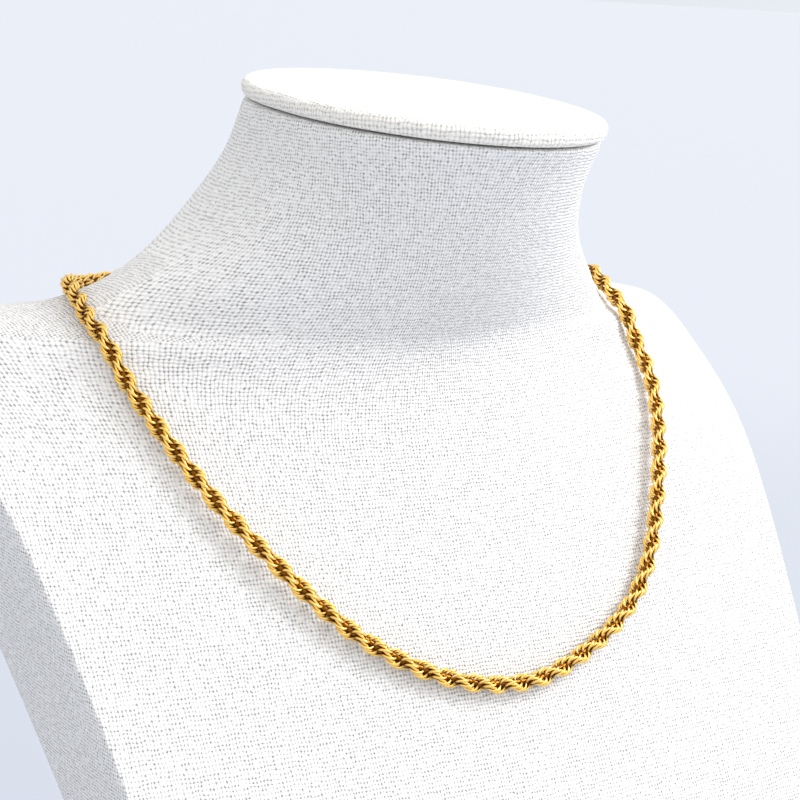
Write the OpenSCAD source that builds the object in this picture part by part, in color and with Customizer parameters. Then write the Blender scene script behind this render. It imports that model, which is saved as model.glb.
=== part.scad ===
// Rope chain worn on a linen covered neck bust.
// The bust stands on its flat base, faces -Y, and is the same on both sides.

/* [Neck bust] */
// Height from the base to the top of the neck, at the middle of the cap
bust_h = 255; // [200:1:340]
// Width across the shoulders
shoulder_w = 212; // [180:1:260]
// Depth from the front of the chest to the upper back
bust_d = 150; // [125:1:180]

/* [Neck cap] */
// Thickness of the padded cap at its rim
cap_t = 3.9; // [3.6:0.1:9]
// Rounding of the cap's rim
cap_round = 1.8; // [0.8:0.1:2]
// Height that the padding swells above the rim
cap_crown = 0.8; // [0.4:0.2:3]
// How far the cap stands out past the neck
cap_over = 1; // [0.5:0.1:4]
// Forward tilt of the cap and of the neck's top, in degrees
cap_tilt = 4.5; // [0:0.5:10]
// Gap between the cap and the top of the neck
cap_gap = 0.3; // [0.1:0.05:0.6]

/* [Rope chain] */
// Width across the rope
rope_d = 4.1; // [3:0.1:5]
// Gap that keeps the rope and its clasp just clear of the linen
rope_gap = 0.3; // [0.2:0.05:0.8]

/* [Clasp] */
// Length of the barrel clasp between the two rope ends
clasp_l = 20; // [16:1:26]
// Diameter of the clasp's barrel
barrel_d = 5; // [4.6:0.1:7]
// Length of the rope's end cap at each end of the barrel
end_cap_l = 5; // [3:0.5:6]
// Width of the groove where the two halves of the barrel screw together
seam_w = 0.6; // [0.3:0.1:1.2]
// Depth of that groove
seam_depth = 0.4; // [0.2:0.1:0.8]
// Wall of the rope's end cap
end_cap_wall = 0.2; // [0.1:0.05:0.4]
// Slope at each end of the barrel, where it meets the end caps
barrel_edge = 0.6; // [0.3:0.1:0.8]
// Gap between the clasp and each rope end
end_gap = 0.1; // [0.1:0.05:0.4]

/* [Hidden] */

// Level rings of the bust, from the base up. Columns:
// height as a share of bust_h,
// front, front corner, back corner and back as shares of bust_d, from the front-most point,
// half width at the front corner as a share of half the shoulder width,
// roundness of the front, from 0.1 pointed to 2 evenly curved,
// how far the ring is an oval, from 0 to 1,
// and how far its back is tucked in behind the shoulders, from 0 to 1.
RINGS = [
  [0,    0.02, 0.08, 0.3,  0.68, 0.77, 1.5, 0,   0],
  [0.12, 0,    0.07, 0.3,  0.68, 0.78, 1.5, 0,   0],
  [0.25, 0.03, 0.09, 0.32, 0.7,  0.8,  1.4, 0,   0],
  [0.4,  0.11, 0.15, 0.4,  0.75, 0.83, 1.3, 0,   0],
  [0.55, 0.25, 0.3,  0.62, 0.84, 0.88, 0.8, 0,   0],
  [0.7,  0.35, 0.5,  0.84, 0.94, 0.95, 0.4, 0,   0],
  [0.78, 0.37, 0.7,  0.91, 0.99, 1,    0.3, 0,   0.2],
  [0.81, 0.38, 0.79, 0.9,  1,    0.98, 0.3, 0.2, 0.7],
  [0.82, 0.38, 0.8,  0.85, 1,    0.87, 0.3, 0.3, 0.9],
  [0.83, 0.37, 0.75, 0.78, 1,    0.7,  0.3, 0.5, 0.7],
  [0.86, 0.36, 0.68, 0.7,  0.97, 0.55, 0.3, 0.8, 0.2],
  [0.9,  0.33, 0.63, 0.65, 0.93, 0.43, 0.3, 1,   0],
  [0.95, 0.29, 0.58, 0.6,  0.88, 0.36, 0.3, 1,   0],
  [1,    0.26, 0.55, 0.57, 0.84, 0.34, 0.3, 1,   0]];
HEIGHT = 0;
FRONT = 1;
EDGE = 2;
WALL = 3;
BACK = 4;
WIDE = 5;
ROUND = 6;
OVAL = 7;
TUCK = 8;
last = len(RINGS) - 1;

// The ring that runs round the foot of the neck, above which the neck tilts
neck_foot = 10;
// The bust's side walls are closer together at the back corners than at the front ones
back_taper = 0.98;
quarter_n = 16;
ring_steps = 4;
// Turns round the bust where its rings have a point, the same on both sides
turns = [for (i = [-2 * quarter_n : 2 * quarter_n - 1]) (i + 0.5) * 90 / quarter_n];

// Where the rope lies on the bust, from the clasp round one shoulder, the chest and the other
// shoulder back to the clasp. Columns: turn from the front centre in degrees, and place between
// the rings, counted from the base
ROUTE = [
  [145, 9.6], [120, 9.7], [98, 9.6], [78, 9.4], [62, 9.1], [39, 7.2],
  [37.5, 6.5], [38, 6], [38, 5.5], [34.5, 5], [28, 4.5], [21.5, 4.25],
  [13, 4.09], [3, 3.98], [-7, 4.01], [-16, 4.14], [-24, 4.34], [-31, 4.63],
  [-37, 5], [-40, 5.5], [-41, 6], [-41.5, 6.4], [-44, 7.1], [-54, 8.2],
  [-74, 9.05], [-91, 9.35], [-124, 9.1], [-148, 9]];
nape = 9.3;
rope_sides = 12;
rope_steps = 2;

// Smooth curve from b, t = 0, to c, t = 1, with a before them and d after
function curve(a, b, c, d, t) =
  b + (c - a) * t / 2 + (2 * a - 5 * b + 4 * c - d) * t ^ 2 / 2 + (3 * b - a - 3 * c + d) * t ^ 3 / 2;

// Smooth value of one column at a place between the rings
function ring_value(i, c) =
  i < 0 ? 2 * RINGS[0][c] - RINGS[1][c]
  : i > last ? 2 * RINGS[last][c] - RINGS[last - 1][c] : RINGS[i][c];
function column(v, c) =
  let (i = min(floor(v), last - 1))
  curve(ring_value(i - 1, c), ring_value(i, c), ring_value(i + 1, c), ring_value(i + 2, c), v - i);

function ease(t) = t ^ 2 * (3 - 2 * t);
function mix(a, b, t) = a + (b - a) * t;
function unit(v) = v / norm(v);

// How far a ring has turned from its front or back centre, 0, to its corner, 1
function front_bend(s, k) = (sqrt(k ^ 2 + s ^ 2) - k) / (sqrt(k ^ 2 + 1) - k);

// The top of the neck is a plane that dips towards the front, under the cap
neck_mid = ((RINGS[last][FRONT] + RINGS[last][BACK]) / 2 - 0.5) * bust_d;
function dip(y, v) =
  (y - neck_mid) * tan(cap_tilt) * ease(max(0, (v - neck_foot) / (last - neck_foot)));

// Point on the bust: turn is 0 at the front centre, 90 at the side and 180 at the back centre
function on_bust(turn, v) =
  let (s = abs(sin(turn)), c = abs(cos(turn)), is_front = cos(turn) >= 0, oval = column(v, OVAL),
       lead = column(v, is_front ? FRONT : BACK),
       corner = column(v, is_front ? EDGE : WALL),
       half = column(v, WIDE) * shoulder_w / 2 * (is_front ? 1 : mix(back_taper, 1, oval)),
       plain = is_front ? front_bend(s, column(v, ROUND)) : s ^ 2,
       bend = mix(plain, 1 - c, oval),
       share = is_front ? bend : mix(bend, ease(s), column(v, TUCK)),
       y = (mix(lead, corner, share) - 0.5) * bust_d)
  [sin(turn) * half, y, column(v, HEIGHT) * bust_h + dip(y, v)];

// Outward direction of the linen, and a point that stands off it
function outward(turn, v) =
  unit(cross(on_bust(turn + 0.5, v) - on_bust(turn - 0.5, v),
             on_bust(turn, v + 0.05) - on_bust(turn, v - 0.05)));
function seat(turn, v, off) = on_bust(turn, v) + off * outward(turn, v);

// Faces of a skin over rings of n points, closed at both ends
function skin(rows, n) = concat(
  [for (j = [0 : rows - 2]) for (i = [0 : n - 1])
    let (a = j * n + i, b = j * n + (i + 1) % n)
    each [[a, a + n, b], [b, a + n, b + n]]],
  [[for (i = [0 : n - 1]) i]],
  [[for (i = [n - 1 : -1 : 0]) (rows - 1) * n + i]]);

module bust_form() color("whitesmoke") {
  levels = [for (i = [0 : last * ring_steps]) i / ring_steps];
  points = [for (v = levels) for (a = turns) on_bust(a, v)];
  polyhedron(points, skin(len(levels), len(turns)));
}

// The cap follows the neck's top ring, a little larger, with a rounded rim and a padded crown
module neck_cap() color("ivory") {
  middle = [0, neck_mid, bust_h];
  up = [0, -sin(cap_tilt), cos(cap_tilt)];
  round = min(cap_round, 0.45 * cap_t);
  // Share of the way out, distance past it, and height of each ring
  rim = [for (a = [-90 : 30 : 90])
    [1, cap_over - round * (1 - cos(a)),
     a < 0 ? round * (1 + sin(a)) : cap_t - round * (1 - sin(a))]];
  crown = [for (s = [0.85, 0.6, 0.3, 0.05])
    [s, 0, cap_t + cap_crown * (1 - s ^ 2)]];
  rings = concat(rim, crown);
  points = [for (r = rings) for (a = turns)
    let (out = on_bust(a, last) - middle)
    middle + unit(out) * (norm(out) * r[0] + r[1]) + up * (cap_gap + r[2])];
  polyhedron(points, skin(len(rings), len(turns)));
}

clasp_at = seat(180, nape, barrel_d / 2 + rope_gap);

// Barrel with a screw seam at its middle and an end cap on each rope end
module clasp() color("gold") {
  r = barrel_d / 2;
  seam_r = r - seam_depth;
  cap_r = min(rope_d / 2 + end_cap_wall, r - barrel_edge);
  half = clasp_l / 2;
  shoulder = half - end_cap_l;
  // Radius and distance from the middle of one half, from the seam out to the rope's end
  side = [[seam_r, 0], [seam_r, seam_w / 2], [r, seam_w / 2], [r, shoulder - barrel_edge],
    [r - barrel_edge, shoulder], [cap_r, shoulder + barrel_edge], [cap_r, half], [0, half]];
  profile = concat([for (p = side) p], [for (i = [len(side) - 1 : -1 : 1]) [side[i][0], -side[i][1]]]);
  translate(clasp_at) rotate([0, 90, 0]) rotate_extrude($fn = 64) polygon(profile);
}

// Points of the rope's centre line: from one end of the clasp round the bust to the other
rope_end = [clasp_l / 2 + end_gap, 0, 0];
rope_points = concat([clasp_at + rope_end],
  [for (r = ROUTE) seat(r[0], r[1], rope_d / 2 + rope_gap)], [clasp_at - rope_end]);

// Smooth centre line through those points, level at the clasp's two ends, and its direction
function knot(i) =
  let (n = len(rope_points))
  i < 0 ? rope_points[1] - [2 * clasp_l, 0, 0]
  : i >= n ? rope_points[n - 2] + [2 * clasp_l, 0, 0] : rope_points[i];
function rope_at(i, t) = curve(knot(i - 1), knot(i), knot(i + 1), knot(i + 2), t);
function rope_way(i, t) = unit(rope_at(i, t + 0.01) - rope_at(i, t - 0.01));

module rope_chain() color("gold") {
  spans = len(rope_points) - 1;
  places = concat([for (i = [0 : spans - 1]) for (k = [0 : rope_steps - 1]) [i, k / rope_steps]],
    [[spans - 1, 1]]);
  points = [for (p = places)
    let (way = rope_way(p[0], p[1]), side = unit(cross([0, 0, 1], way)), up = cross(way, side))
    for (k = [0 : rope_sides - 1])
      let (a = k * 360 / rope_sides)
      rope_at(p[0], p[1]) + rope_d / 2 * (cos(a) * side + sin(a) * up)];
  polyhedron(points, skin(len(places), rope_sides));
}

bust_form();
neck_cap();
rope_chain();
clasp();
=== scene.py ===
# %% [markdown]
# # A gold rope chain on a linen neck bust
#
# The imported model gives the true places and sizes: the bust, the padded cap on its neck, the rope
# and the clasp. This lesson dresses each of them. The bust and the cap are covered in woven linen,
# the rope becomes several hundred gold rings, and the clasp becomes a turned barrel.
# Loading the model first means that every piece can be placed from it with no fitting.

# %% Load the model
import math

import bpy
from mathutils import Matrix, Vector


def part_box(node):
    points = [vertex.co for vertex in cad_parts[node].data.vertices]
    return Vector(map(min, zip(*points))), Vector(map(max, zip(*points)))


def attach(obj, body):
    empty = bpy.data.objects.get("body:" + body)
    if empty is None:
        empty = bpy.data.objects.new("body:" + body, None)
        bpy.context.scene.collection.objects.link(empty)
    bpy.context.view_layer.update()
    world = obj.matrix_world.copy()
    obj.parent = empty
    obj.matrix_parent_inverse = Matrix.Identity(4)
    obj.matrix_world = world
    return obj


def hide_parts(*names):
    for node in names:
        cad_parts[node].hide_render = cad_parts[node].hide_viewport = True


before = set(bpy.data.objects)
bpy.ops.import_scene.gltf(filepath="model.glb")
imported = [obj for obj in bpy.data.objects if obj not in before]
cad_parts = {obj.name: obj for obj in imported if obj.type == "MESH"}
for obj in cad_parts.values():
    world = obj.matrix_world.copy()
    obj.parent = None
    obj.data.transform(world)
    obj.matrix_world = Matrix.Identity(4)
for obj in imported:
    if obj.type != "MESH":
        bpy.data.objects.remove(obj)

bpy.context.view_layer.update()
MM = 0.001

# %% [markdown]
# ## Camera
#
# The photo looks at the bust from its right front and from slightly above, through a long lens,
# and the camera is rolled a few degrees. A camera could be aimed with a Track To constraint, but
# then the roll would be lost, so its turn is built up from three plain rotations. Its place, turns
# and lens were found by fitting the bust and its cap to the photo, and then rounded.

# %% Camera
CAMERA_AT = Vector((-264, -355, 282)) * MM
CAMERA_TURN = math.radians(-35.9)
CAMERA_DIP = math.radians(11.4)
CAMERA_ROLL = math.radians(3.3)
LENS_MM = 91.9
CLIP_START = 10 * MM

bpy.ops.object.select_all(action="DESELECT")
bpy.ops.object.camera_add()
camera = bpy.context.object
camera.name = "photo_camera"
camera.data.lens = LENS_MM
camera.data.clip_start = CLIP_START
camera.matrix_world = (
    Matrix.Translation(CAMERA_AT)
    @ Matrix.Rotation(CAMERA_TURN, 4, "Z")
    @ Matrix.Rotation(math.pi / 2 - CAMERA_DIP, 4, "X")
    @ Matrix.Rotation(CAMERA_ROLL, 4, "Z")
)
bpy.context.scene.camera = camera
print("camera", round(CAMERA_AT.length, 3), "m from the middle of the base")

# %% [markdown]
# ## Colours and nodes
#
# Colours are written as the hex values that a picture editor shows, and Blender wants linear
# light, so one function turns them. A second small function adds any shader node with its
# settings and links, which keeps the recipes of the materials short.

# %% Colour and node helpers
def linear(hex_colour):
    """Linear red, green, blue and alpha of an sRGB hex colour."""
    parts = [int(hex_colour[i:i + 2], 16) / 255 for i in (1, 3, 5)]
    return [p / 12.92 if p <= 0.04045 else ((p + 0.055) / 1.055) ** 2.4 for p in parts] + [1]


def add_node(tree, kind, inputs=None, **settings):
    """Adds a shader node, sets it, and fills its inputs from values or from other nodes' outputs."""
    new = tree.nodes.new("ShaderNode" + kind)
    for name, value in settings.items():
        setattr(new, name, value)
    for name, value in (inputs or {}).items():
        if isinstance(value, bpy.types.NodeSocket):
            tree.links.new(value, new.inputs[name])
        else:
            new.inputs[name].default_value = value
    return new


def new_material(name):
    """An empty node material and its shader, ready for a recipe."""
    material = bpy.data.materials.new(name)
    material.use_nodes = True
    tree = material.node_tree
    return material, tree, tree.nodes["Principled BSDF"]


print("helpers for colours and nodes are ready")

# %% [markdown]
# ## Floor and light
#
# The real bust stands in a bright room with one large soft light high on its left, and everything
# behind it is a pale blue white. A wide floor catches the horizon. A world that is brighter
# above than below gives the gold something to reflect, and one large area light gives the
# direction. The Standard view keeps white linen white, which a filmic view would turn grey.

# %% Floor
FLOOR_SIZE = 400
# The floor's colour is painted darker near the bust as painted shade, from one distance to the other
# in metres
DARKER_NEAR = 0.2
DARKER_FAR = 1.2

bpy.ops.object.select_all(action="DESELECT")
bpy.ops.mesh.primitive_plane_add(size=FLOOR_SIZE)
floor = bpy.context.object
floor.name = "pale_floor"
paper, tree, shader = new_material("matt_paper")
away = add_node(tree, "VectorMath", {
    0: add_node(tree, "TexCoord").outputs["Object"]}, operation="LENGTH").outputs["Value"]
# Painted shade: the floor's colour darkens towards the bust
near_painted_shade = add_node(tree, "MapRange", {
    "Value": away, "From Min": DARKER_NEAR, "From Max": DARKER_FAR}, interpolation_type="SMOOTHSTEP")
floor_colour_with_shade = add_node(tree, "MixRGB", {
    "Fac": near_painted_shade.outputs["Result"], "Color1": linear("#B9BFCA"), "Color2": linear("#D8DDE6")})
tree.links.new(floor_colour_with_shade.outputs["Color"], shader.inputs["Base Color"])
shader.inputs["Roughness"].default_value = 0.9
floor.data.materials.append(paper)
print("floor", FLOOR_SIZE, "m wide")

# %% World and lights
BRIGHT_SIDE = (0.8, -0.6, 0)
WORLD_DIM = 0.85
WORLD_BRIGHT = 1.8
LIGHT_AIM = (0, 0, 0.17)
LIGHT_SPREAD = math.radians(80)
bpy.context.scene.view_settings.view_transform = "Standard"
world = bpy.data.worlds.new("soft_room")
bpy.context.scene.world = world
world.use_nodes = True
tree = world.node_tree
look = add_node(tree, "TexCoord").outputs["Generated"]
way = add_node(tree, "SeparateXYZ", {"Vector": look})
ramp = add_node(tree, "ValToRGB", {"Fac": add_node(
    tree, "MapRange", {"Value": way.outputs["Z"], "From Min": -1.0}).outputs["Result"]})
# The thin pale band at the middle is the far edge of the floor, seen from just above it
for place, colour in ((0.0, "#6E6C6A"), (0.488, "#8F8E8D"), (0.49, "#C8CCD2"), (0.512, "#C8CCD2"),
                      (0.514, "#E4E3E3"), (0.62, "#ECECED"), (0.78, "#E8E8E9")):
    stop = ramp.color_ramp.elements.new(place)
    stop.color = linear(colour)
ramp.color_ramp.elements.remove(ramp.color_ramp.elements[0])
ramp.color_ramp.elements[-1].color = linear("#FFFFFF")
background = tree.nodes["Background"]
tree.links.new(ramp.outputs["Color"], background.inputs["Color"])
towards = add_node(tree, "VectorMath", {0: look, 1: BRIGHT_SIDE}, operation="DOT_PRODUCT")
side = add_node(tree, "MapRange", {
    "Value": towards.outputs["Value"], "From Min": -1.0, "To Min": WORLD_DIM, "To Max": WORLD_BRIGHT})
tree.links.new(side.outputs["Result"], background.inputs["Strength"])


def soft_light(name, at, size, watts):
    """A square area light at a place in metres, turned towards the bust."""
    bpy.ops.object.select_all(action="DESELECT")
    bpy.ops.object.light_add(type="AREA", location=at)
    light = bpy.context.object
    light.name = name
    light.data.size = size
    light.data.energy = watts
    light.data.spread = LIGHT_SPREAD
    light.rotation_euler = (Vector(at) - Vector(LIGHT_AIM)).to_track_quat("Z", "Y").to_euler()


soft_light("window_light", at=(0.75, -0.45, 0.95), size=0.5, watts=1.8)

# %% [markdown]
# ## Ready to model
#
# Operators act on all that is selected, and a model that has just been loaded is selected. So
# one helper selects a single piece, and another copies a solid of the model into a new piece
# whose loose triangles are merged. The solid itself is never changed.

# %% Selection and copying
MERGE_WITHIN = 0.001 * MM


def only(piece):
    """Selects one piece alone and makes it active."""
    bpy.ops.object.select_all(action="DESELECT")
    piece.select_set(True)
    bpy.context.view_layer.objects.active = piece


def copied(node_name, piece_name):
    """A new piece with the merged mesh of one of the model's solids."""
    piece = bpy.data.objects.new(piece_name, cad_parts[node_name].data.copy())
    bpy.context.scene.collection.objects.link(piece)
    piece.data.materials.clear()
    only(piece)
    bpy.ops.object.mode_set(mode="EDIT")
    bpy.ops.mesh.select_all(action="SELECT")
    bpy.ops.mesh.remove_doubles(threshold=MERGE_WITHIN)
    bpy.ops.object.mode_set(mode="OBJECT")
    return piece


def rings_of(mesh, first):
    """Rings of a tube's vertices in order, walking along its edges from the first ring."""
    beside = {v.index: set() for v in mesh.vertices}
    for edge in mesh.edges:
        a, b = edge.vertices
        beside[a].add(b)
        beside[b].add(a)
    rings = []
    ring = set(first)
    seen = set(first)
    while ring:
        rings.append(sorted(ring))
        ring = set().union(*(beside[v] for v in ring)) - seen
        seen |= ring
    return rings, beside


def ring_middle(mesh, ring):
    """Mean place of a ring's vertices."""
    return sum((mesh.vertices[v].co for v in ring), Vector()) / len(ring)


print("helpers for modelling are ready")

# %% [markdown]
# ## From triangles to quads
#
# The model's skins are rings of triangles. Subdividing triangles leaves a puckered surface, and
# an automatic join of triangles can pair the wrong ones. Here the two triangles of each square
# share a diagonal that can be found from the rings, so those edges alone are dissolved.

# %% Dissolve the diagonals
def to_quads(piece, rings, beside):
    """Dissolves the diagonal of each square between neighbouring rings, given from the lowest ring."""
    mesh = piece.data
    ahead = {}
    ring_number = {}
    for number, ring in enumerate(rings):
        middle = ring_middle(mesh, ring)
        angle = {v: math.atan2(*(mesh.vertices[v].co - middle).yx) for v in ring}
        order = sorted(ring, key=angle.get)
        for i, v in enumerate(order):
            ahead[v] = order[(i + 1) % len(order)]
            ring_number[v] = number
    diagonals = set()
    for edge in mesh.edges:
        low, high = sorted(edge.vertices, key=ring_number.get)
        crosses = ring_number[low] != ring_number[high]
        if crosses and ahead[low] not in beside[high]:
            diagonals.add(edge.index)
        if not crosses and ahead[low] != high and ahead[high] != low:
            diagonals.add(edge.index)
    only(piece)
    bpy.ops.object.mode_set(mode="EDIT")
    bpy.ops.mesh.select_mode(type="EDGE")
    bpy.ops.mesh.select_all(action="DESELECT")
    bpy.ops.object.mode_set(mode="OBJECT")
    for edge in mesh.edges:
        edge.select = edge.index in diagonals
    bpy.ops.object.mode_set(mode="EDIT")
    bpy.ops.mesh.dissolve_edges(use_verts=False)
    bpy.ops.object.mode_set(mode="OBJECT")
    print(piece.name, len(diagonals), "diagonals dissolved,", len(mesh.polygons), "faces left")


def select_faces(piece, test):
    """Leaves the piece in edit mode with only the faces selected that pass a test."""
    only(piece)
    bpy.ops.object.mode_set(mode="EDIT")
    bpy.ops.mesh.select_mode(type="FACE")
    bpy.ops.mesh.select_all(action="DESELECT")
    bpy.ops.object.mode_set(mode="OBJECT")
    for face in piece.data.polygons:
        face.select = test(face)
    bpy.ops.object.mode_set(mode="EDIT")


def smoothed(piece, levels):
    """Applies a Subdivision Surface modifier and shades the piece smooth."""
    only(piece)
    modifier = piece.modifiers.new("smooth", "SUBSURF")
    modifier.levels = levels
    modifier.render_levels = levels
    bpy.ops.object.modifier_apply(modifier=modifier.name)
    bpy.ops.object.shade_smooth()


print("helpers for quads are ready")

# %% [markdown]
# ## The linen skin of the bust
#
# The real bust is a light core with cloth pulled tight over it. A cloth simulation would only
# find the same tight surface again, so the skin is the solid's own surface, made of clean quads
# and smoothed twice. The flat base is inset first, so that its edge stays crisp, and the front of the
# throat is relaxed, because tight cloth doesn't follow a hollow.

# %% Bust skin
SKIN_LEVELS = 2
BASE_EDGE = 1.5 * MM
ON_BASE = 0.01 * MM
# The stretch of the front that is relaxed: its heights and half its width
THROAT_LOW = 165 * MM
THROAT_HIGH = 248 * MM
THROAT_HALF = 58 * MM
THROAT_REPEAT = 60

bust = copied("bust_form", "linen_bust")
base_ring = [v.index for v in bust.data.vertices if v.co.z < ON_BASE]
to_quads(bust, *rings_of(bust.data, base_ring))
select_faces(bust, lambda face: len(face.vertices) > 4)
bpy.ops.mesh.inset(thickness=BASE_EDGE, use_individual=True)
bpy.ops.object.mode_set(mode="OBJECT")
select_faces(bust, lambda face: THROAT_LOW < face.center.z < THROAT_HIGH
             and face.center.y < 0 and abs(face.center.x) < THROAT_HALF)
bpy.ops.mesh.vertices_smooth(factor=0.5, repeat=THROAT_REPEAT)
bpy.ops.object.mode_set(mode="OBJECT")
smoothed(bust, SKIN_LEVELS)
print(bust.name, len(bust.data.polygons), "faces")

# %% [markdown]
# ## Threads that follow the surface
#
# Woven cloth needs a map whose unit is a real length, or the threads change their size from
# place to place. An unwrap of the whole skin would stretch over the shoulders. Instead each
# face is laid out flat the way it faces: round the neck, across the front, along the side walls
# or over the top. The map is in metres, so a material can count real threads. It is weak on the
# outer edge of the shoulder: above NECK_LOW a side wall is laid out as if it faced the front or the
# back, and streaks show there, down to a hard line at that height.

# %% Thread map
NECK_RADIUS = 42 * MM
NECK_LOW = 185 * MM
NECK_HIGH = 240 * MM
NECK_AXIS_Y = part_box("neck_cap")[0].y / 2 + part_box("neck_cap")[1].y / 2
# A face whose normal lies further than this along an axis is laid out across that axis
FACES_AXIS = 0.8


def thread_place(co, normal, side):
    """Place of a point on the cloth as it lies flat, in metres: along the weft and the warp."""
    if abs(normal.z) > FACES_AXIS:
        return co.x, co.y
    if abs(normal.x) > FACES_AXIS and co.z < NECK_LOW:
        return co.y, co.z
    turn = math.atan2(co.x, NECK_AXIS_Y - co.y)
    if abs(turn) > math.pi / 2 and turn * side < 0:
        turn += math.copysign(2 * math.pi, side)
    across = co.x if normal.y < 0 else math.copysign(math.pi * NECK_RADIUS, side) - co.x
    share = min(max((co.z - NECK_LOW) / (NECK_HIGH - NECK_LOW), 0), 1)
    share *= share * (3 - 2 * share)
    return across + (turn * NECK_RADIUS - across) * share, co.z


def map_threads(piece):
    """Fills the piece's thread map, face by face."""
    for old in list(piece.data.uv_layers):
        piece.data.uv_layers.remove(old)
    layer = piece.data.uv_layers.new(name="threads")
    for face in piece.data.polygons:
        for loop, vertex in zip(face.loop_indices, face.vertices):
            co = piece.data.vertices[vertex].co
            layer.data[loop].uv = thread_place(co, face.normal, face.center.x)


map_threads(bust)
print(bust.name, "has a thread map in metres")

# %% [markdown]
# ## Woven linen
#
# Plain weave linen has threads that go over and under each other in turn, and at each corner
# between four crossings the dark ground shows as a pinhole. Its darkness in the colour is partly
# the ground's own colour and partly painted shade in the hole. Flax is uneven, so threads wander
# and some pinholes close. A woven image would be simple, but a recipe in real lengths keeps its
# scale on every piece. Sine waves give the threads, white noise closes some holes, and both feed
# the colour and the bump.

# %% Linen material
# Scales count features in a metre, so threads wander over about 2.4 mm and slubs are about 0.9 mm
WANDER_SCALE = 420.0
SLUB_SCALE = 1100.0
PATCH_SCALE = 25.0
# How far a thread wanders, as a share of the spacing
WANDER_REACH = 1.3
# A pinhole starts and is full at these sums of the two waves, and the faintest has this strength
HOLE_FROM = 0.4
HOLE_TO = 1.6
FAINTEST_HOLE = 0.1
# How far the holes sink in the relief, with the slubs as 1
HOLE_SINK = 0.7


def woven_linen(name, spacing, thread, ground_and_shade, pinhole_shade_share=0.85, relief=0.28 * MM):
    """Plain weave cloth. The spacing is between two threads, in metres."""
    material, tree, shader = new_material(name)
    flat = add_node(tree, "UVMap", uv_map="threads").outputs["UV"]
    wander = add_node(tree, "TexNoise", {"Vector": flat, "Scale": WANDER_SCALE, "Detail": 2.0})
    shift = add_node(tree, "VectorMath", {
        0: wander.outputs["Color"], 1: (0.5, 0.5, 0.5)}, operation="SUBTRACT").outputs[0]
    moved = add_node(tree, "VectorMath", {
        0: shift, 1: (WANDER_REACH * spacing,) * 3, 2: flat}, operation="MULTIPLY_ADD").outputs[0]
    count = add_node(tree, "VectorMath", {
        0: moved, "Scale": 1 / spacing}, operation="SCALE").outputs[0]
    split = add_node(tree, "SeparateXYZ", {"Vector": count})
    gaps = []
    for axis in ("X", "Y"):
        phase = add_node(tree, "Math", {0: split.outputs[axis], 1: math.pi}, operation="MULTIPLY")
        wave = add_node(tree, "Math", {0: phase.outputs[0]}, operation="SINE")
        size = add_node(tree, "Math", {0: wave.outputs[0]}, operation="ABSOLUTE")
        gaps.append(add_node(
            tree, "Math", {0: 1.0, 1: size.outputs[0]}, operation="SUBTRACT").outputs[0])
    dip = add_node(tree, "Math", {0: gaps[0], 1: gaps[1]}, operation="ADD").outputs[0]
    hole = add_node(tree, "MapRange", {
        "Value": dip, "From Min": HOLE_FROM, "From Max": HOLE_TO}, interpolation_type="SMOOTHSTEP")
    nearest = add_node(tree, "VectorMath", {0: count, 1: (0.5, 0.5, 0)}, operation="ADD").outputs[0]
    lattice = add_node(tree, "VectorMath", {0: nearest}, operation="FLOOR").outputs[0]
    chance = add_node(tree, "TexWhiteNoise", {"Vector": lattice}, noise_dimensions="2D")
    strength = add_node(tree, "MapRange", {
        "Value": chance.outputs["Value"], "To Min": FAINTEST_HOLE}).outputs["Result"]
    open_hole = add_node(tree, "Math", {
        0: hole.outputs["Result"], 1: strength}, operation="MULTIPLY").outputs[0]
    slub = add_node(tree, "TexNoise", {"Vector": flat, "Scale": SLUB_SCALE, "Detail": 3.0})
    height = add_node(tree, "Math", {
        0: dip, 1: -HOLE_SINK, 2: slub.outputs["Fac"]}, operation="MULTIPLY_ADD").outputs[0]
    bump = add_node(tree, "Bump", {"Height": height, "Distance": relief, "Strength": 0.9})
    patch = add_node(tree, "TexNoise", {
        "Vector": add_node(tree, "TexCoord").outputs["Object"], "Scale": PATCH_SCALE, "Detail": 3.0})
    faded = add_node(tree, "MixRGB", {
        "Fac": patch.outputs["Fac"], "Color1": linear(thread[0]), "Color2": linear(thread[1])})
    # Painted shade: the pinholes darken the colour, partly the ground's own colour and partly shade in
    # the hole
    shade = add_node(tree, "Math", {0: open_hole, 1: pinhole_shade_share}, operation="MULTIPLY").outputs[0]
    cloth = add_node(tree, "MixRGB", {
        "Fac": shade, "Color1": faded.outputs["Color"], "Color2": linear(ground_and_shade)})
    tree.links.new(cloth.outputs["Color"], shader.inputs["Base Color"])
    tree.links.new(bump.outputs["Normal"], shader.inputs["Normal"])
    shader.inputs["Roughness"].default_value = 0.9
    shader.inputs["Specular IOR Level"].default_value = 0.25
    shader.inputs["Sheen Weight"].default_value = 0.15
    return material


THREAD_SPACING = 0.76 * MM
linen = woven_linen("woven_linen", THREAD_SPACING, ("#FFFEFD", "#F9F8F6"), "#85807F")
bust.data.materials.append(linen)
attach(bust, "root")
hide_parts("bust_form")
print("linen threads every", round(THREAD_SPACING / MM, 2), "mm")

# %% [markdown]
# ## The padded cap
#
# A cushion of wadding sits on the neck under the same cloth, pulled down over its rim. It is made
# from its own solid in the way of the bust. The cloth is stretched over the wadding, so its threads
# lie further apart than those of the bust.

# %% Neck cap
CAP_LEVELS = 2
CAP_SPACING = 0.95 * MM
# The innermost ring of the crown lies within this distance of the cap's middle
CROWN_REACH = 4 * MM

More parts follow.
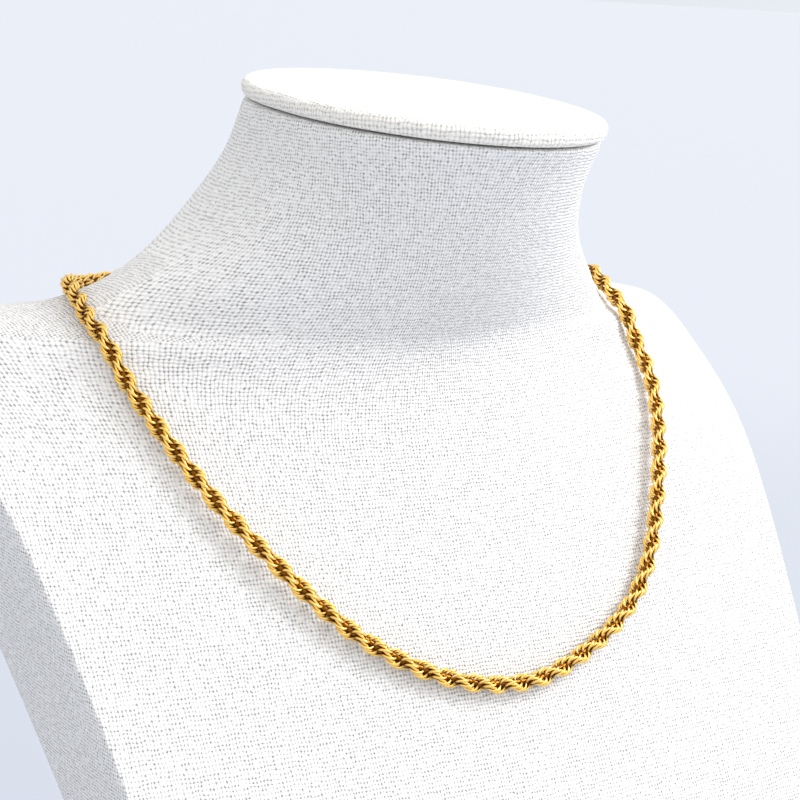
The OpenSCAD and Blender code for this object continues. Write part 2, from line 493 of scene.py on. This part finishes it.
cap = copied("neck_cap", "padded_neck_cap")
cap_middle = (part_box("neck_cap")[0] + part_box("neck_cap")[1]) / 2
from_axis = {v.index: (v.co.xy - cap_middle.xy).length for v in cap.data.vertices}
crown_ring = [i for i, away in from_axis.items() if away < CROWN_REACH]
cap_rings, cap_beside = rings_of(cap.data, crown_ring)
to_quads(cap, cap_rings[::-1], cap_beside)
smoothed(cap, CAP_LEVELS)
map_threads(cap)
cap.data.materials.append(woven_linen(
    "stretched_linen", CAP_SPACING, ("#FFFEFC", "#FBF6EC"), "#8E8478", 0.5, 0.3 * MM))
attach(cap, "root")
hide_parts("neck_cap")
print(cap.name, len(cap.data.polygons), "faces")

# %% [markdown]
# ## Centre line of the rope
#
# The rope solid is a plain tube. Walking along its rings from the end at the clasp gives the middle
# of each, and a smooth curve through those gives a place and a direction at any length. The
# rings of the chain are then set out by length, so that they keep an even spacing.

# %% Rope centre line
# The tube's first ring lies this near to the clasp's end, and this near to its middle
END_REACH = 0.6 * MM
CLASP_REACH = 12 * MM

clasp_low, clasp_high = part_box("clasp")
tube = copied("rope_chain", "rope_guide")
clasp_middle = (clasp_low + clasp_high) / 2
first_ring = [
    v.index for v in tube.data.vertices
    if abs(v.co.x - clasp_high.x) < END_REACH and (v.co - clasp_middle).length < CLASP_REACH
]
tube_rings, _ = rings_of(tube.data, first_ring)
middles = [ring_middle(tube.data, ring) for ring in tube_rings]


def curve_point(points, place):
    """Smooth point at a place counted in whole points along a list."""
    i = min(int(place), len(points) - 2)
    t = place - i
    b, c = points[i], points[i + 1]
    a = points[i - 1] if i else 2 * b - c
    d = points[i + 2] if i + 2 < len(points) else 2 * c - b
    return (b + (c - a) * t / 2 + (2 * a - 5 * b + 4 * c - d) * t ** 2 / 2
            + (3 * b - a - 3 * c + d) * t ** 3 / 2)


STEPS = 40
line = [curve_point(middles, i / STEPS) for i in range((len(middles) - 1) * STEPS + 1)]
reach = [0.0]
for before, after in zip(line, line[1:]):
    reach.append(reach[-1] + (after - before).length)
print("rope", round(reach[-1] / MM, 1), "mm long through", len(middles), "rings of the tube")

# %% [markdown]
# ## One ring of the chain
#
# A rope chain is made of hundreds of soldered rings that hold each other. Two of them lie across each
# other at every step and each pair is turned a little from the last, so the eye sees two thick
# strands twisted together. Twisting two tubes would look like string. One round ring is modelled
# as a thin torus and then copied. Only the look is kept: these rings pass through their neighbours,
# where real ones lie round each other.

# %% Ring
ROPE_RADIUS = 2.05 * MM
# A search for rings that clear each other suggested where the wire, the ring's offset from the
# rope's axis and its tilt could start. The values were then chosen from test renders
WIRE = 0.56 * MM
OFFSET = 0.12 * MM
TILT = math.radians(78)
WIRE_SIDES = 6
RING_SIDES = 18

bpy.ops.object.select_all(action="DESELECT")
ring_radius = ROPE_RADIUS - WIRE / 2 - OFFSET
bpy.ops.mesh.primitive_torus_add(
    major_segments=RING_SIDES, minor_segments=WIRE_SIDES,
    major_radius=ring_radius, minor_radius=WIRE / 2)
ring = bpy.context.object
ring.name = "chain_ring"
bpy.ops.object.shade_smooth()
# How deep each place lies below the rope's outside, in mm, where the gold's colour gets a brown
# painted shade
rope_way = Vector((0, -math.sin(TILT), math.cos(TILT)))
shade_depth = ring.data.attributes.new("shade_depth_mm", "FLOAT", "POINT")
for vertex in ring.data.vertices:
    place = vertex.co + Vector((OFFSET, 0, 0))
    from_axis = (place - rope_way * place.dot(rope_way)).length
    shade_depth.data[vertex.index].value = (ROPE_RADIUS - from_axis) / MM
print("ring", round(2 * ring_radius / MM, 2), "mm wide,", len(ring.data.polygons), "faces")

# %% [markdown]
# ## The whole chain
#
# The rings are set along the centre line by a loop. Each one leans against the rope's axis, and
# turns with the twist. Array modifiers could not carry both the twist and the route, so
# each place is worked out and a copy of the ring's mesh is put there, and then all are joined.

# %% Chain
PITCH = 12.6 * MM
SPACING = 0.61 * MM
CORE_RADIUS = 0.75 * MM

count = int(reach[-1] / SPACING)
step = reach[-1] / count
copies = []
side_way = Vector((0, 0, 1))
at = 0
for n in range(count + 1):
    length = min(n * step, reach[-1])
    while at < len(line) - 2 and reach[at + 1] < length:
        at += 1
    share = (length - reach[at]) / (reach[at + 1] - reach[at])
    middle = line[at].lerp(line[at + 1], share)
    along = (line[at + 1] - line[at]).normalized()
    side_way = (side_way - along * side_way.dot(along)).normalized()
    third_way = along.cross(side_way)
    turn = 2 * math.pi * length / PITCH + math.pi * (n % 2)
    out = side_way * math.cos(turn) + third_way * math.sin(turn)
    face_way = along * math.cos(TILT) + along.cross(out) * math.sin(TILT)
    place = Matrix((out, face_way.cross(out), face_way)).transposed().to_4x4()
    place.translation = middle + out * OFFSET
    copy = ring.data.copy()
    copy.transform(place)
    piece = bpy.data.objects.new("chain_ring_copy", copy)
    bpy.context.scene.collection.objects.link(piece)
    copies.append(piece)
bpy.data.objects.remove(ring)
# The tube of the model, drawn in, fills the middle, where the real rings crowd each other
only(tube)
bpy.ops.object.mode_set(mode="EDIT")
bpy.ops.mesh.select_all(action="SELECT")
bpy.ops.transform.shrink_fatten(value=CORE_RADIUS - ROPE_RADIUS)
bpy.ops.object.mode_set(mode="OBJECT")
bpy.ops.object.shade_smooth()
# The core lies at full depth, so all of its colour is the brown painted shade
shade_depth = tube.data.attributes.new("shade_depth_mm", "FLOAT", "POINT")
for vertex in tube.data.vertices:
    shade_depth.data[vertex.index].value = (ROPE_RADIUS - CORE_RADIUS) / MM
copies.append(tube)
bpy.ops.object.select_all(action="DESELECT")
for piece in copies:
    piece.select_set(True)
bpy.context.view_layer.objects.active = copies[0]
bpy.ops.object.join()
chain = bpy.context.object
chain.name = "gold_rope_chain"
print(chain.name, count + 1, "rings and a core,", len(chain.data.polygons), "faces")

# %% [markdown]
# ## Polished gold
#
# Yellow gold reflects red and green light strongly and blue weakly, so light that bounces
# between real rings turns orange and brown. These rings are too open for that to be enough, so a
# brown painted shade is mixed into the colour where the surface lies deep in the rope. A high
# polish has a low roughness, and tiny waves left by the tumbling keep the highlights from looking
# like glass.

# %% Gold material
# Depths below the rope's outside, in mm, where the brown painted shade begins and is full
SHADE_FROM = 0.6
SHADE_FULL = 1.3
WAVE_SCALE = 1400.0
WAVE_RELIEF = 0.02 * MM

gold, tree, shader = new_material("polished_gold")
where = add_node(tree, "TexCoord").outputs["Object"]
waves = add_node(tree, "TexNoise", {"Vector": where, "Scale": WAVE_SCALE, "Detail": 2.0})
tint = add_node(tree, "MixRGB", {
    "Fac": waves.outputs["Fac"], "Color1": linear("#FFDB86"), "Color2": linear("#FACB66")})
deep_painted_shade = add_node(tree, "MapRange", {
    "Value": add_node(tree, "Attribute", attribute_name="shade_depth_mm").outputs["Fac"],
    "From Min": SHADE_FROM, "From Max": SHADE_FULL}, interpolation_type="SMOOTHSTEP")
# Painted shade: a brown is mixed into the colour deep in the rope
tint = add_node(tree, "MixRGB", {
    "Fac": deep_painted_shade.outputs["Result"], "Color1": tint.outputs["Color"], "Color2": linear("#7E4C12")})
polish = add_node(tree, "MapRange", {
    "Value": waves.outputs["Fac"], "To Min": 0.08, "To Max": 0.18}).outputs["Result"]
bump = add_node(tree, "Bump", {
    "Height": waves.outputs["Fac"], "Distance": WAVE_RELIEF, "Strength": 0.5})
tree.links.new(tint.outputs["Color"], shader.inputs["Base Color"])
tree.links.new(polish, shader.inputs["Roughness"])
tree.links.new(bump.outputs["Normal"], shader.inputs["Normal"])
shader.inputs["Metallic"].default_value = 1
chain.data.materials.clear()
chain.data.materials.append(gold)
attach(chain, "root")
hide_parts("rope_chain")
print("gold on", chain.name)

# %% [markdown]
# ## The barrel clasp
#
# A barrel clasp is two turned halves that screw together, with a cap over each rope end. A lathe
# makes the real one, so here a circle is drawn out along the axis step by step and scaled
# at each step, which gives the same profile with a few extrudes.

# %% Clasp
CLASP_SIDES = 48
END_CAP_LENGTH = 5 * MM
END_CAP_RADIUS = 1.86 * MM
SEAM_HALF = 0.3 * MM
SEAM_DEPTH = 0.4 * MM
LIP = 0.25 * MM
# Distance of each turned line from its end of the barrel or the cap, and half the line's width
LINE_IN = 1 * MM
LINE_HALF = 0.2 * MM

barrel_r = (clasp_high.z - clasp_low.z) / 2
half = (clasp_high.x - clasp_low.x) / 2
shoulder = half - END_CAP_LENGTH
# Distance from the middle and radius of each step of one half, from the seam to the rope's end
half_steps = [
    (SEAM_HALF, barrel_r - SEAM_DEPTH),
    (SEAM_HALF, barrel_r - LIP / 2),
    (SEAM_HALF + LIP, barrel_r),
    (shoulder - LINE_IN - LINE_HALF, barrel_r),
    (shoulder - LINE_IN, barrel_r - LIP),
    (shoulder - LINE_IN + LINE_HALF, barrel_r),
    (shoulder - LIP, barrel_r),
    (shoulder, barrel_r - LIP),
    (shoulder, END_CAP_RADIUS),
    (half - LINE_IN, END_CAP_RADIUS),
    (half - LINE_IN + LINE_HALF, END_CAP_RADIUS + LIP / 2),
    (half - LINE_HALF, END_CAP_RADIUS + LIP / 2),
    (half, END_CAP_RADIUS),
]
steps = [(-x, r) for x, r in half_steps[::-1]] + half_steps

bpy.ops.object.select_all(action="DESELECT")
bpy.ops.mesh.primitive_circle_add(
    vertices=CLASP_SIDES, radius=steps[0][1], fill_type="NGON",
    location=clasp_middle + Vector((steps[0][0], 0, 0)), rotation=(0, math.pi / 2, 0))
clasp = bpy.context.object
clasp.name = "barrel_clasp"
bpy.ops.object.transform_apply(location=True, rotation=True, scale=True)
bpy.ops.object.mode_set(mode="EDIT")
bpy.ops.mesh.select_all(action="SELECT")
bpy.context.scene.tool_settings.transform_pivot_point = "MEDIAN_POINT"
for (x0, r0), (x1, r1) in zip(steps, steps[1:]):
    bpy.ops.mesh.extrude_region_move(TRANSFORM_OT_translate={"value": (x1 - x0, 0, 0)})
    bpy.ops.transform.resize(value=(1, r1 / r0, r1 / r0))
bpy.ops.mesh.select_all(action="SELECT")
bpy.ops.mesh.normals_make_consistent(inside=False)
bpy.ops.object.mode_set(mode="OBJECT")
only(clasp)
bpy.ops.object.shade_smooth_by_angle(angle=math.radians(35))
clasp.data.materials.append(gold)
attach(clasp, "root")
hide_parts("clasp")
print(clasp.name, len(clasp.data.polygons), "faces")

# %% [markdown]
#
# Last, the view layer is brought up to date.

# %% Update the view layer
bpy.context.view_layer.update()
